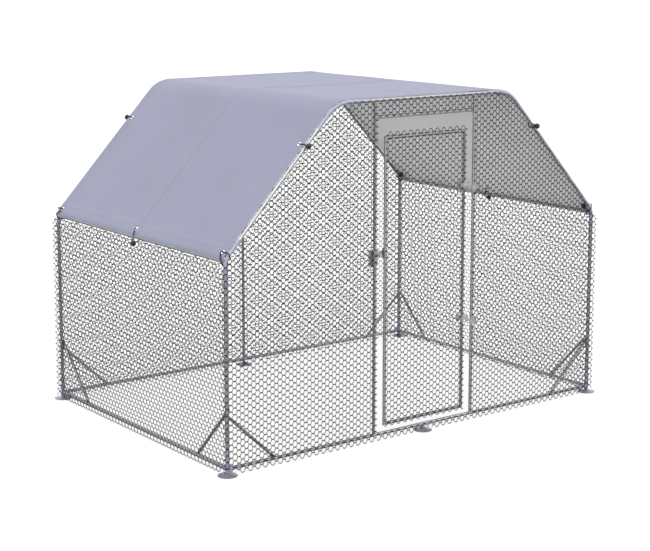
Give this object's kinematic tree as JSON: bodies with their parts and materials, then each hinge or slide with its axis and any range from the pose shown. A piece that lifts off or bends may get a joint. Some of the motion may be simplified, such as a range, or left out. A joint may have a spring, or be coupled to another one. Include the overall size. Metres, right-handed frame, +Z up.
{
  "type": "walk-in poultry run",
  "caption": "Free-standing walk-in run: tube frame with flat-topped gables, wire netting, tied-down roof cover and a netted door that swings outward and is held by a sliding latch.",
  "frame": {"origin": "on the ground at the centre of the footprint", "axes": "+Z up, -Y towards the gable with the door, +X to the right seen from in front of the door"},
  "size_m": [2.89, 2.01, 1.9985],
  "materials": {
    "galvanised_tube": "galvanised",
    "connector_steel": "satin",
    "netting_wire": "galvanised",
    "cover_cloth": "coated cloth",
    "elastic_cord": "elastic cord",
    "tie_ball": "gloss",
    "eyelet_metal": "bright",
    "screw_steel": "plated",
    "fitting_steel": "satin"
  },
  "bodies": {
    "frame": {"bottom_tube_front_left": "galvanised_tube", "bottom_tube_front_right": "galvanised_tube", "bottom_tube_left": "galvanised_tube", "bottom_tube_rear_left": "galvanised_tube", "bottom_tube_rear_right": "galvanised_tube", "bottom_tube_right": "galvanised_tube", "corner_braces": "galvanised_tube", "cover_eyelets": "eyelet_metal", "door_header": "galvanised_tube", "door_post_left": "galvanised_tube", "door_post_right": "galvanised_tube", "eave_elbow_front_left": "connector_steel", "eave_elbow_front_right": "connector_steel", "eave_elbow_rear_left": "connector_steel", "eave_elbow_rear_right": "connector_steel", "eave_tube_left": "galvanised_tube", "eave_tube_right": "galvanised_tube", "foot_front_left": "connector_steel", "foot_front_middle": "connector_steel", "foot_front_right": "connector_steel", "foot_rear_left": "connector_steel", "foot_rear_middle": "connector_steel", "foot_rear_right": "connector_steel", "frame_screws": "screw_steel", "hinge_pintles": "fitting_steel", "latch_plate": "fitting_steel", "net_door_sill": "netting_wire", "net_front_left": "netting_wire", "net_front_right": "netting_wire", "net_left": "netting_wire", "net_over_door": "netting_wire", "net_rear_left": "netting_wire", "net_rear_right": "netting_wire", "net_right": "netting_wire", "post_front_left": "galvanised_tube", "post_front_right": "galvanised_tube", "post_rear_left": "galvanised_tube", "post_rear_right": "galvanised_tube", "rear_post": "galvanised_tube", "ridge_tube_left": "galvanised_tube", "ridge_tube_right": "galvanised_tube", "roof_cover": "cover_cloth", "slope_tube_front_left": "galvanised_tube", "slope_tube_front_right": "galvanised_tube", "slope_tube_rear_left": "galvanised_tube", "slope_tube_rear_right": "galvanised_tube", "tie_balls": "tie_ball", "tie_cords": "elastic_cord", "top_elbow_front_left": "connector_steel", "top_elbow_front_right": "connector_steel", "top_elbow_rear_left": "connector_steel", "top_elbow_rear_right": "connector_steel", "top_tube_front": "galvanised_tube", "top_tube_rear": "galvanised_tube"},
    "door": {"leaf_frame": "galvanised_tube", "leaf_net": "netting_wire", "hinge_eyes": "fitting_steel", "leaf_hinge_bolts": "screw_steel", "latch_keeper": "fitting_steel"},
    "latch": {"latch_bar": "fitting_steel"}
  },
  "joints": [
    {"name": "door_swing", "type": "hinge", "parent": "frame", "child": "door", "pos_m": [0.337, -0.95, 1], "axis": [0, 0, 1], "range_deg": [0, 105]},
    {"name": "latch_slide", "type": "slide", "parent": "frame", "child": "latch", "axis": [1, 0, 0], "range_m": [0, 0.03]}
  ]
}
